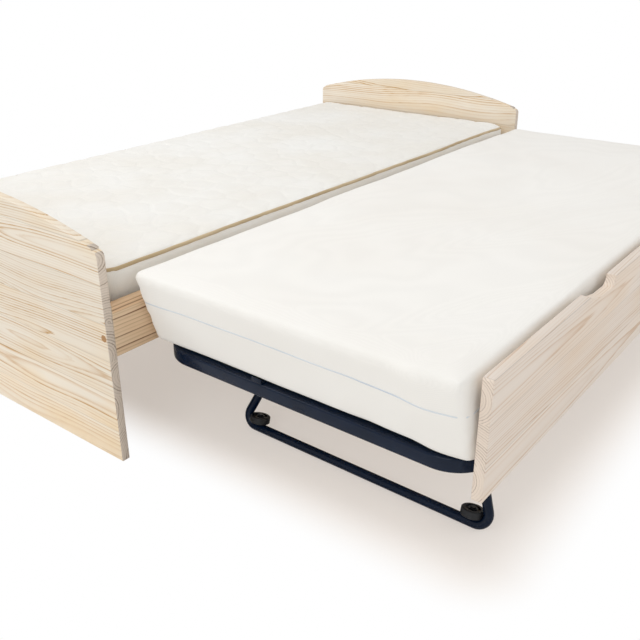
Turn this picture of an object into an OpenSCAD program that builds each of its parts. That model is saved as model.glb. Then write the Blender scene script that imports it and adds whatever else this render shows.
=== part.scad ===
// Trundle bed: a pine single bed with a second, lift-up bed on a steel frame
// that stands beside it. Millimetres, +Z up, floor at z = 0. +X runs along the
// bed towards the headboard, the second bed stands on the -Y side, and the
// origin is the middle of the whole footprint on the floor.

/* [Main bed] */
// Length over the headboard and the footboard
bed_l = 2050; // [1950:10:2150]
// Width over the two side rails
bed_w = 960; // [940:5:1060]
// Thickness of every pine board
board_t = 22; // [18:1:28]
// Height of the end boards at their sides
board_side_h = 528; // [480:4:560]
// Extra height of the end boards in the middle of their arch
arch_rise = 66; // [40:2:90]
// Height of the underside of the side rails
rail_z = 272; // [268:2:290]
// Depth of the side rails
rail_h = 125; // [110:5:140]
// Number of slats under the main mattress
main_slats_n = 14; // [10:1:18]
// Thickness of the main mattress
main_matt_t = 120; // [100:5:160]

/* [Second bed] */
// Distance from the front rail out to the face of the second bed's panel
pull_out = 862; // [860:2:900]
// Height of the panel's lower edge while the second bed is raised
panel_z = 214; // [212:1:220]
// Height of the panel
panel_h = 250; // [220:5:252]
// Length of the panel
panel_l = 1834; // [1700:2:1900]
// Gap from the footboard's outer face to the panel
panel_x = 120; // [100:2:140]
// Thickness of the second mattress
low_matt_t = 198; // [150:2:198]
// Number of slats under the second mattress
low_slats_n = 13; // [10:1:16]

/* [Steel frame and legs] */
// Height of the underside of the steel frame while raised
frame_z = 236; // [236:1:238]
// Height of the frame's tube
frame_h = 32; // [30:1:32]
// Width of the frame's tube
frame_b = 34; // [30:1:36]
// Outside diameter of the leg tube
leg_d = 22; // [20:1:24]
// Distance from a leg's foot bar to its pivot, along the bed
leg_lean = 62; // [50:2:66]
// Height of the leg pivots while raised
pivot_z = 222; // [221:1:223]
// Diameter of the rollers
wheel_d = 50; // [50:1:54]

/* [Hidden] */
$fn = 48;

foot_x = -bed_l / 2;                    // outer face of the footboard
head_x = bed_l / 2;                     // outer face of the headboard
front_y = (pull_out - bed_w) / 2;       // outer face of the front rail
back_y = front_y + bed_w;               // outer face of the back rail
in_x0 = foot_x + board_t;
in_x1 = head_x - board_t;
rail_top = rail_z + rail_h;
bolt_z = rail_z + rail_h / 2 - 12;      // rail bolts, a little below the rail's middle
plug_d = 18;
bolt_d = 8;
dowel_d = 10;
cleat_b = 30;
cleat_z = rail_top - 95;
slat_t = 18;
slat_w = 70;
slat_z = cleat_z + cleat_b;             // underside of the main slats
main_z = slat_z + slat_t;               // underside of the main mattress
main_matt_w = bed_w - 2 * board_t - 4;
main_matt_l = 2000;
slat_pitch = (in_x1 - in_x0) / main_slats_n;

panel_y = front_y - pull_out;           // outer face of the panel
panel_x0 = foot_x + panel_x;
panel_mid = panel_x0 + panel_l / 2;
frame_y0 = panel_y + board_t + 2;       // the frame stands just behind the panel
frame_y1 = front_y - 12;
frame_x0 = panel_x0 + 8;
frame_x1 = panel_x0 + panel_l - 8;
frame_r = 90;                           // outside radius of the frame's corners
wall = 2;
deck_z = frame_z + frame_h;             // the second mattress rests at this height
ledge_t = 3;
ledge_z = frame_z + 14;
low_slat_t = 10;
low_slat_w = 60;
low_slat_x0 = frame_x0 + 130;
low_slat_pitch = (frame_x1 - frame_x0 - 260) / (low_slats_n - 1);

low_matt_over = 60;                     // the mattress reaches past the frame's ends
low_matt_y0 = panel_y + board_t + 5;
low_matt_y1 = front_y - 6;
tuck = 80;                              // how far the mattress ends draw in below

leg_r = leg_d / 2;
bar_z = leg_r;                          // the foot bar lies on the floor
bend_r = 26;
foot_bar_x = foot_x + 297;
foot_pivot_x = foot_bar_x + leg_lean;
bar_y0 = panel_y + board_t + 4 + leg_r; // middle of the front upright at the floor
bar_y1 = front_y - 106;               // middle of the back upright at the floor
squeeze = 32;                           // the uprights draw in by this, going up
eye_y0 = bar_y0 + squeeze;
eye_y1 = bar_y1 - squeeze;
kink_z = 114;
kink_in = 44;                           // the uprights' draw at their kink
eye_r = 10;
eye_w = 26;
pin_d = 10;
ear_t = 4;
bar_tube_b = 24;                        // crossbar tube, between the frame's sides
fold = atan2(leg_lean, pivot_z - bar_z);  // a leg's slope while it stands

wheel_w = 18;
axle_d = 8;
wheel_in = 62;                          // wheel's distance in from its upright
wheel_y0 = bar_y0 + wheel_in;
wheel_y1 = bar_y1 - wheel_in;
washer = 2.5;
run = 0.05;                             // radial clearance of the running fits

pine = [0.90, 0.78, 0.60];
navy = [0.06, 0.10, 0.20];

// ---- helpers ---------------------------------------------------------------

// Rounded rectangle from its two corners, made of arcs and straight sides
module round_rect(x0, y0, x1, y1, r) {
  translate([x0 + r, y0]) square([x1 - x0 - 2 * r, y1 - y0]);
  translate([x0, y0 + r]) square([x1 - x0, y1 - y0 - 2 * r]);
  for (x = [x0 + r, x1 - r], y = [y0 + r, y1 - r]) translate([x, y]) circle(r, $fn = 96);
}

// A box from its lowest corner to its highest corner
module box(a, b) { translate(a) cube(b - a); }

function unit(v) = v / norm(v);

// One bend of a tube round the corner p, coming from a and going to b, as a list
// of [point, direction] along an arc of radius rad
function bend(a, p, b, rad, steps) =
  let (u = unit(p - a), v = unit(b - p), turn = acos(u * v),
       side = unit(v - u * (u * v)),
       c = p - u * rad * tan(turn / 2) + side * rad)
  [for (i = [0:steps]) let (t = turn * i / steps)
    [c + rad * (u * sin(t) - side * cos(t)), u * cos(t) + side * sin(t)]];

// A tube's whole course: its two ends and a bend at each corner between
function course(p, rad, steps = 6) = [
  [p[0], unit(p[1] - p[0])],
  for (i = [1:len(p) - 2]) each bend(p[i - 1], p[i], p[i + 1], rad, steps),
  [p[len(p) - 1], unit(p[len(p) - 1] - p[len(p) - 2])]];

function ring(at, r, n) =
  let (t = at[1], e = unit([1, 0, 0] - t * t[0]), f = cross(t, e))
  [for (i = [0:n - 1]) at[0] + r * (e * cos(360 * i / n) + f * sin(360 * i / n))];

// Hollow bent tube along a course, r outside and w thick, n sides
module tube(path, r, w, n) {
  m = len(path);
  points = [for (q = [r, r - w]) for (at = path) each ring(at, q, n)];
  walls = [for (k = [0, 1], j = [0:m - 2], i = [0:n - 1])
    let (o = k * m * n, a = o + j * n + i, b = o + j * n + (i + 1) % n)
    each k == 0 ? [[a, b, b + n], [a, b + n, a + n]] : [[b, a, b + n], [b + n, a, a + n]]];
  ends = [for (j = [0, m - 1], i = [0:n - 1])
    let (a = j * n + i, b = j * n + (i + 1) % n, o = m * n)
    each j == 0 ? [[b, a, a + o], [b, a + o, b + o]] : [[a, b, a + o], [a + o, b, b + o]]];
  polyhedron(points, concat(walls, ends));
}

// Countersunk wood screw with its head at the origin, pointing to -Z
module screw(l, d) {
  translate([0, 0, -3]) cylinder(h = 3, d1 = d, d2 = 2 * d, $fn = 24);
  translate([0, 0, -l]) cylinder(h = l - 3, d = d, $fn = 24);
}

// Swaps what is drawn for the foot leg round to the head end
module head_end() { translate([2 * panel_mid, 0, 0]) mirror([1, 0, 0]) children(); }

// ---- main bed --------------------------------------------------------------

// Outline of an end board in its own plane: straight sides, arched top
module board_outline() {
  half = bed_w / 2;
  arch_r = (half * half + arch_rise * arch_rise) / (2 * arch_rise);
  corner = 16;
  intersection() {
    translate([half, board_side_h + arch_rise - arch_r]) circle(arch_r, $fn = 360);
    union() {
      square([bed_w, board_side_h - corner]);
      translate([corner, 0]) square([bed_w - 2 * corner, board_side_h + arch_rise]);
      for (y = [corner, bed_w - corner])
        translate([y, board_side_h - corner]) circle(corner, $fn = 64);
    }
  }
}

// An end board standing at x, with the holes of its connectors
module end_board(x, outside) {
  difference() {
    translate([x, front_y, 0]) rotate([90, 0, 90]) linear_extrude(board_t) board_outline();
    for (y = [front_y + board_t / 2, back_y - board_t / 2]) {
      translate([x - 1, y, bolt_z]) rotate([0, 90, 0]) cylinder(h = board_t + 2, d = bolt_d);
      plug_x = outside < 0 ? x - 1 : x + board_t - 8;
      translate([plug_x, y, bolt_z]) rotate([0, 90, 0]) cylinder(h = 9, d = plug_d);
      dowel_x = outside < 0 ? x + board_t - 12 : x - 1;
      for (z = [rail_z + 25, rail_top - 25])
        translate([dowel_x, y, z]) rotate([0, 90, 0]) cylinder(h = 13, d = dowel_d);
    }
  }
}

module headboard() { color(pine) end_board(in_x1, 1); }
module footboard() { color(pine) end_board(foot_x, -1); }

// A side rail with its outer face at y, drilled for its bolts and dowels, and from
// its inner face, on the side that inner gives, for the barrel nuts
module side_rail(y, inner) {
  mid = y + board_t / 2;
  difference() {
    box([in_x0, y, rail_z], [in_x1, y + board_t, rail_top]);
    for (s = [-1, 1]) {
      end = s < 0 ? in_x0 : in_x1;
      translate([end - 70 * (s + 1) / 2 - (s < 0 ? 1 : -1), mid, bolt_z])
        rotate([0, 90, 0]) cylinder(h = 70, d = bolt_d);
      translate([end - s * 50, mid - inner * 8, bolt_z]) rotate([-inner * 90, 0, 0])
        cylinder(h = board_t, d = 14);
      for (z = [rail_z + 25, rail_top - 25])
        translate([end - 30 * (s + 1) / 2 - (s < 0 ? 1 : -1), mid, z])
          rotate([0, 90, 0]) cylinder(h = 30, d = dowel_d);
    }
  }
}

module front_rail() { color(pine) side_rail(front_y, 1); }
module back_rail() { color(pine) side_rail(back_y - board_t, -1); }

// A cleat that carries the slats, screwed to the inside of a rail
module cleat(y) { box([in_x0 + 2, y, cleat_z], [in_x1 - 2, y + cleat_b, cleat_z + cleat_b]); }

module front_cleat() {
  color(pine) difference() {
    cleat(front_y + board_t);
    cleat_screw_places() screw(45.5, 4);
    slat_screw_places() screw(30.5, 4);
  }
}
module back_cleat() {
  color(pine) difference() {
    cleat(back_y - board_t - cleat_b);
    cleat_screw_places() screw(45.5, 4);
    slat_screw_places() screw(30.5, 4);
  }
}

// Puts a screw at each place along both cleats, pointing out into the rails
module cleat_screw_places() {
  for (i = [0:5]) {
    x = in_x0 + 110 + i * (in_x1 - in_x0 - 220) / 5;
    translate([x, front_y + board_t + cleat_b, cleat_z + 12]) rotate([-90, 0, 0]) children();
    translate([x, back_y - board_t - cleat_b, cleat_z + 12]) rotate([90, 0, 0]) children();
  }
}

module cleat_screws() { color("silver") cleat_screw_places() screw(45, 4); }

function slat_x(i) = in_x0 + slat_pitch * (i + 0.5);

module slat_screw_places() {
  for (i = [0:main_slats_n - 1], y = [front_y + board_t + 19, back_y - board_t - 19])
    translate([slat_x(i), y, main_z]) children();
}

module main_slats() {
  color(pine) difference() {
    for (i = [0:main_slats_n - 1])
      box([slat_x(i) - slat_w / 2, front_y + board_t + 1, slat_z],
          [slat_x(i) + slat_w / 2, back_y - board_t - 1, main_z]);
    slat_screw_places() screw(30.5, 4);
  }
}

module main_slat_screws() { color("silver") slat_screw_places() screw(30, 4); }

// Connector bolts through the end boards into barrel nuts in the rails
module rail_corner_places() {
  for (y = [front_y + board_t / 2, back_y - board_t / 2]) {
    translate([foot_x, y, bolt_z]) children();
    translate([head_x, y, bolt_z]) mirror([1, 0, 0]) children();
  }
}

module rail_bolts() {
  color("silver") rail_corner_places() {
    translate([8, 0, 0]) rotate([0, 90, 0]) cylinder(h = 72, d = bolt_d - 0.1);
    translate([5.5, 0, 0]) rotate([0, 90, 0]) cylinder(h = 2.5, d = plug_d - 2);
  }
}

module barrel_nuts() {
  color("silver") difference() {
    rail_corner_places() translate([board_t + 50, -8, 0]) rotate([-90, 0, 0])
      cylinder(h = 16, d = 13.9);
    rail_corner_places() translate([8, 0, 0]) rotate([0, 90, 0]) cylinder(h = 80, d = bolt_d);
  }
}

module bolt_plugs() {
  color([0.75, 0.55, 0.35]) rail_corner_places() rotate([0, 90, 0])
    cylinder(h = 5, d = plug_d - 0.1);
}

module rail_dowels() {
  color([0.8, 0.65, 0.45]) rail_corner_places()
    for (z = [rail_z + 25 - bolt_z, rail_top - 25 - bolt_z])
      translate([board_t - 11, 0, z]) rotate([0, 90, 0]) cylinder(h = 39, d = dowel_d - 0.1);
}

module main_mattress() {
  y0 = front_y + board_t + 2;
  color("ivory") translate([0, 0, main_z + 0.3]) linear_extrude(main_matt_t)
    round_rect(-main_matt_l / 2, y0, main_matt_l / 2, y0 + main_matt_w, 30);
}

// ---- second bed: frame and deck ----------------------------------------------

module frame_outline(inset, r) {
  round_rect(frame_x0 + inset, frame_y0 + inset, frame_x1 - inset, frame_y1 - inset, r);
}

// The bent tube that runs all round the second bed
module trundle_frame() {
  color(navy) difference() {
    translate([0, 0, frame_z]) linear_extrude(frame_h) difference() {
      frame_outline(0, frame_r);
      frame_outline(frame_b, frame_r - frame_b);
    }
    translate([0, 0, frame_z + wall]) linear_extrude(frame_h - 2 * wall) difference() {
      frame_outline(wall, frame_r - wall);
      frame_outline(frame_b - wall, frame_r - frame_b + wall);
    }
    for (x = bracket_xs()) translate([x, frame_y0 - 1, frame_z + frame_h / 2])
      rotate([-90, 0, 0]) cylinder(h = wall + 2, d = 8);
  }
}

// Steel strips welded along the inside of the frame, which carry the slat holders
module trundle_ledges() {
  color(navy) for (y = [frame_y0 + frame_b, frame_y1 - frame_b - 25])
    box([frame_x0 + 94, y, ledge_z], [frame_x1 - 94, y + 25, ledge_z + ledge_t]);
}

function low_slat_x(i) = low_slat_x0 + i * low_slat_pitch;
holder_y0 = frame_y0 + frame_b + 1;
holder_y1 = frame_y1 - frame_b - 1;

module trundle_slats() {
  color([0.88, 0.74, 0.55]) for (i = [0:low_slats_n - 1])
    box([low_slat_x(i) - low_slat_w / 2, holder_y0 + 3, ledge_z + ledge_t + 2],
        [low_slat_x(i) + low_slat_w / 2, holder_y1 - 3, ledge_z + ledge_t + 2 + low_slat_t]);
}

// Moulded cups that hold the slat ends on the ledges
module slat_holders() {
  color([0.1, 0.1, 0.11]) for (i = [0:low_slats_n - 1], s = [0, 1]) {
    y0 = s == 0 ? holder_y0 : holder_y1 - 26;
    difference() {
      box([low_slat_x(i) - low_slat_w / 2 - 3, y0, ledge_z + ledge_t],
          [low_slat_x(i) + low_slat_w / 2 + 3, y0 + 26, deck_z - 1.5]);
      box([low_slat_x(i) - low_slat_w / 2, s == 0 ? y0 + 3 : y0 - 1, ledge_z + ledge_t + 2],
          [low_slat_x(i) + low_slat_w / 2, s == 0 ? y0 + 27 : y0 + 23,
           ledge_z + ledge_t + 2 + low_slat_t]);
    }
  }
}

// Cross tube under the deck with two pairs of ears for a leg's pivots
module crossbar() {
  difference() {
    union() {
      difference() {
        box([foot_pivot_x - bar_tube_b / 2, frame_y0 + frame_b, frame_z],
            [foot_pivot_x + bar_tube_b / 2, frame_y1 - frame_b, ledge_z]);
        box([foot_pivot_x - bar_tube_b / 2 + wall, frame_y0 + frame_b - 1, frame_z + wall],
            [foot_pivot_x + bar_tube_b / 2 - wall, frame_y1 - frame_b + 1, ledge_z - wall]);
      }
      for (y = [eye_y0, eye_y1], s = [-1, 1]) ear(y + s * (eye_w / 2 + ear_t / 2 + 0.3));
    }
    for (y = [eye_y0, eye_y1]) translate([foot_pivot_x, y - 25, pivot_z])
      rotate([-90, 0, 0]) cylinder(h = 50, d = pin_d);
  }
}

module ear(y) {
  translate([foot_pivot_x, y - ear_t / 2, pivot_z]) rotate([-90, 0, 0])
    cylinder(h = ear_t, r = eye_r);
  box([foot_pivot_x - eye_r, y - ear_t / 2, pivot_z], [foot_pivot_x + eye_r, y + ear_t / 2, frame_z]);
}

module foot_crossbar() { color(navy) crossbar(); }
module head_crossbar() { color(navy) head_end() crossbar(); }

// Pivot pins, riveted over at both ends
module pivot_pins() {
  half = eye_w / 2 + ear_t + 0.3;
  for (y = [eye_y0, eye_y1]) translate([foot_pivot_x, y, pivot_z]) rotate([-90, 0, 0]) {
    translate([0, 0, -half - 2]) cylinder(h = 2 * half + 4, d = pin_d);
    for (z = [-half - 2, half]) translate([0, 0, z]) cylinder(h = 2, d = pin_d + 5);
  }
}

module foot_pivot_pins() { color("silver") pivot_pins(); }
module head_pivot_pins() { color("silver") head_end() pivot_pins(); }

// Upright tabs on the frame's ends, which keep the mattress from sliding off
module mattress_stop() {
  y = frame_y1 - 310;
  box([frame_x0 + 0.5, y - 14, deck_z], [frame_x0 + 3.5, y + 14, deck_z + 11]);
  box([frame_x0 + 0.5, y - 14, deck_z], [frame_x0 + 26, y + 14, deck_z + 3]);
}

module mattress_stops() { color(navy) { mattress_stop(); head_end() mattress_stop(); } }

// ---- second bed: panel ---------------------------------------------------------

notch_x0 = 430;      // start of the finger notch, from the panel's foot end
notch_l = 150;
notch_h = 24;

module front_panel() {
  color(pine) difference() {
    translate([0, panel_y + board_t, 0]) rotate([90, 0, 0]) linear_extrude(board_t)
      translate([panel_x0, panel_z]) difference() {
        square([panel_l, panel_h]);
        translate([notch_x0, panel_h - notch_h])
          polygon([[-1, notch_h + 1], [9, notch_h - 9], [75, 1.5], [notch_l - 20, 0],
                   for (a = [0:15:90])
                     [notch_l - 20 + 20 * sin(a), 20 - 20 * cos(a)],
                   [notch_l, notch_h + 1]]);
      }
    for (x = bracket_xs(), dz = [22, 60], dx = [-14, 14])
      translate([x + dx, panel_y + board_t, frame_z + frame_h + dz])
        rotate([-90, 0, 0]) screw(16.5, 4);
    panel_ease();
  }
}

// Small bevels to cut off the panel's top corners
module panel_ease() {
  for (s = [0, 1]) translate([panel_x0 + s * panel_l, panel_y - 1, panel_z + panel_h])
    rotate([0, 45, 0]) cube([5, 2 * board_t + 4, 5], center = true);
}

function bracket_xs() = [for (i = [0:3]) panel_x0 + 200 + i * (panel_l - 400) / 3];

// Flat plates bolted to the frame and screwed to the back of the panel
module panel_brackets() {
  color(navy) for (x = bracket_xs()) difference() {
    box([x - 25, panel_y + board_t, frame_z + 2], [x + 25, panel_y + board_t + 2, deck_z + 75]);
    translate([x, panel_y + board_t - 1, frame_z + frame_h / 2]) rotate([-90, 0, 0])
      cylinder(h = 4, d = 8);
    for (dz = [22, 60], dx = [-14, 14])
      translate([x + dx, panel_y + board_t - 1, frame_z + frame_h + dz]) rotate([-90, 0, 0])
        cylinder(h = 4, d = 4);
  }
}

module panel_screws() {
  color("silver") for (x = bracket_xs(), dz = [22, 60], dx = [-14, 14])
    translate([x + dx, panel_y + board_t + 2, frame_z + frame_h + dz]) rotate([90, 0, 0]) {
      translate([0, 0, -2]) cylinder(h = 2, d = 8);
      cylinder(h = 16, d = 3.9);
    }
}

module bracket_bolts() {
  color("silver") for (x = bracket_xs())
    translate([x, frame_y0 + wall + 14, frame_z + frame_h / 2]) rotate([90, 0, 0])
      cylinder(h = 18, d = 7.9);
}

// The second mattress: its ends draw in towards the deck
module trundle_mattress() {
  x0 = frame_x0 - low_matt_over;
  x1 = frame_x1 + low_matt_over;
  z0 = deck_z + 3.3;
  z1 = deck_z + low_matt_t;
  color("ivory") translate([0, low_matt_y1, 0]) rotate([90, 0, 0])
    linear_extrude(low_matt_y1 - low_matt_y0)
    polygon([[x0 + tuck, z0], [x1 - tuck, z0], [x1, z0 + tuck * 0.8], [x1, z1 - 12],
             [x1 - 12, z1], [x0 + 12, z1], [x0, z1 - 12], [x0, z0 + tuck * 0.8]]);
}

// ---- legs and rollers ------------------------------------------------------------

pivot0 = [foot_pivot_x, eye_y0, pivot_z];
pivot1 = [foot_pivot_x, eye_y1, pivot_z];
kink_x = foot_bar_x + leg_lean * (kink_z - bar_z) / (pivot_z - bar_z);
kink0 = [kink_x, bar_y0 + kink_in, kink_z];
kink1 = [kink_x, bar_y1 - kink_in, kink_z];
leg_points = [
  pivot0 + unit(kink0 - pivot0) * (eye_r - 0.5),
  kink0,
  [foot_bar_x, bar_y0, bar_z],
  [foot_bar_x, bar_y1, bar_z],
  kink1,
  pivot1 + unit(kink1 - pivot1) * (eye_r - 0.5)];

// A leg: one tube bent to a U, drilled for the axles
module leg() {
  difference() {
    tube(course(leg_points, bend_r), leg_r, 1.5, 20);
    for (y = [wheel_y0, wheel_y1]) wheel_place(y)
      translate([0, 0, -leg_d]) cylinder(h = 2 * leg_d, d = axle_d);
  }
}

// Bushes welded across a leg's upper ends, which turn on the pivot pins
module bushes() {
  for (y = [eye_y0, eye_y1]) translate([foot_pivot_x, y, pivot_z]) rotate([-90, 0, 0])
    difference() {
      translate([0, 0, -eye_w / 2]) cylinder(h = eye_w, r = eye_r);
      translate([0, 0, -eye_w]) cylinder(h = 2 * eye_w, d = pin_d + 2 * run);
    }
}

module foot_bushes() { color(navy) bushes(); }
module head_bushes() { color(navy) head_end() bushes(); }
module foot_leg() { color(navy) leg(); }
module head_leg() { color(navy) head_end() leg(); }

// Places a part on the foot bar at y, with its z axis along a wheel's axle
module wheel_place(y) { translate([foot_bar_x, y, bar_z]) rotate([0, fold, 0]) children(); }

// An axle through the foot bar's tube, with a collar below its wheel and a cap above
module axle() {
  translate([0, 0, -leg_r + 1.6]) cylinder(h = leg_d + washer + wheel_w + 1, d = axle_d);
  translate([0, 0, leg_r + washer + wheel_w + 0.3]) cylinder(h = 3, d = 13);
  translate([0, 0, leg_r]) cylinder(h = washer - 0.3, d = 14);
}

module axles() { for (y = [wheel_y0, wheel_y1]) wheel_place(y) axle(); }

module foot_axles() { color([0.1, 0.1, 0.11]) axles(); }
module head_axles() { color([0.1, 0.1, 0.11]) head_end() axles(); }

// A roller: moulded hub with a rubber tyre moulded round it
module hub(y) {
  wheel_place(y) translate([0, 0, leg_r + washer]) difference() {
    union() {
      cylinder(h = wheel_w, r = wheel_d / 2 - 5, $fn = 64);
      cylinder(h = wheel_w, d = 20);
    }
    translate([0, 0, -1]) cylinder(h = wheel_w + 2, d = axle_d + 2 * run);
    translate([0, 0, wheel_w - 4]) difference() {
      cylinder(h = 5, r = wheel_d / 2 - 8, $fn = 64);
      translate([0, 0, -1]) cylinder(h = 7, d = 20);
    }
  }
}

module tyre(y) {
  wheel_place(y) translate([0, 0, leg_r + washer]) rotate_extrude($fn = 96)
    polygon([[wheel_d / 2 - 5, 0], [wheel_d / 2 - 2, 0], [wheel_d / 2, 2],
             [wheel_d / 2, wheel_w - 2], [wheel_d / 2 - 2, wheel_w], [wheel_d / 2 - 5, wheel_w]]);
}

black = [0.08, 0.08, 0.09];
module foot_front_hub() { color(black) hub(wheel_y0); }
module foot_front_tyre() { color(black) tyre(wheel_y0); }
module foot_back_hub() { color(black) hub(wheel_y1); }
module foot_back_tyre() { color(black) tyre(wheel_y1); }
module head_front_hub() { color(black) head_end() hub(wheel_y0); }
module head_front_tyre() { color(black) head_end() tyre(wheel_y0); }
module head_back_hub() { color(black) head_end() hub(wheel_y1); }
module head_back_tyre() { color(black) head_end() tyre(wheel_y1); }

// ---- nodes -----------------------------------------------------------------------

headboard();
footboard();
front_rail();
back_rail();
front_cleat();
back_cleat();
cleat_screws();
main_slats();
main_slat_screws();
rail_bolts();
barrel_nuts();
bolt_plugs();
rail_dowels();
main_mattress();
trundle_frame();
trundle_ledges();
trundle_slats();
slat_holders();
foot_crossbar();
head_crossbar();
foot_pivot_pins();
head_pivot_pins();
mattress_stops();
front_panel();
panel_brackets();
panel_screws();
bracket_bolts();
trundle_mattress();
foot_leg();
head_leg();
foot_bushes();
head_bushes();
foot_axles();
head_axles();
foot_back_hub();
foot_back_tyre();
foot_front_hub();
foot_front_tyre();
head_back_hub();
head_back_tyre();
head_front_hub();
head_front_tyre();
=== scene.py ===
import math
import random

import bmesh
import bpy
from mathutils import Matrix, Vector, noise
from mathutils.bvhtree import BVHTree


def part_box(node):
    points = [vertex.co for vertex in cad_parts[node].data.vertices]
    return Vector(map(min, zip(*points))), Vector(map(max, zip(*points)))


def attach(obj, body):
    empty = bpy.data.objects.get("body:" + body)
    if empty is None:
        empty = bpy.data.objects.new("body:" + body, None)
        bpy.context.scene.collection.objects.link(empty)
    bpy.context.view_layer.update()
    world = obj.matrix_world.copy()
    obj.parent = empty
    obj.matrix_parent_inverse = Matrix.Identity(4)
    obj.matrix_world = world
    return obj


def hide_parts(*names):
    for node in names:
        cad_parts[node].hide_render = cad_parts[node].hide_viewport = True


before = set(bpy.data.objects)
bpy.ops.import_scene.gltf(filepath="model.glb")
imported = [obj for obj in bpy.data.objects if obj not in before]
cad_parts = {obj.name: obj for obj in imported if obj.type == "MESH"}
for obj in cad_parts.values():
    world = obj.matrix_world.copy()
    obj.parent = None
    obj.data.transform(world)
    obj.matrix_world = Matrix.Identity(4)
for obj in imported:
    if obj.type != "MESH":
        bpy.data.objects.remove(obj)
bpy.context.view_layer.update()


# ---- End boards --------------------------------------------------------------------
# Two arched boards of glue-laminated pine: staves a hand wide, glued edge to edge with
# the grain running across the bed, planed, lacquered matt, the sharp edges sanded off.

def linear(code):
    """An sRGB hex colour as the linear colour that a shader takes."""
    parts = [int(code[i:i + 2], 16) / 255 for i in (0, 2, 4)]
    return tuple(c / 12.92 if c <= 0.04045 else ((c + 0.055) / 1.055) ** 2.4 for c in parts) + (1.0,)


def add(mat, kind, inputs=(), stops=(), **fields):
    """Adds a node. Inputs are sockets to link or values to set; stops fill a colour ramp."""
    node = mat.node_tree.nodes.new("ShaderNode" + kind)
    for field, value in fields.items():
        setattr(node, field, value)
    for key, value in inputs.items() if isinstance(inputs, dict) else enumerate(inputs):
        if isinstance(value, bpy.types.NodeSocket):
            mat.node_tree.links.new(value, node.inputs[key])
        elif value is not None:
            node.inputs[key].default_value = value
    for number, (place, value) in enumerate(stops):
        ramp = node.color_ramp.elements
        element = ramp[number] if number < len(ramp) else ramp.new(1.0)
        element.position = place
        element.color = linear(value) if isinstance(value, str) else (value, value, value, 1.0)
    return node


def new_material(name):
    """An empty material and its Principled shader."""
    mat = bpy.data.materials.new(name)
    mat.use_nodes = True
    return mat, mat.node_tree.nodes["Principled BSDF"]


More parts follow.
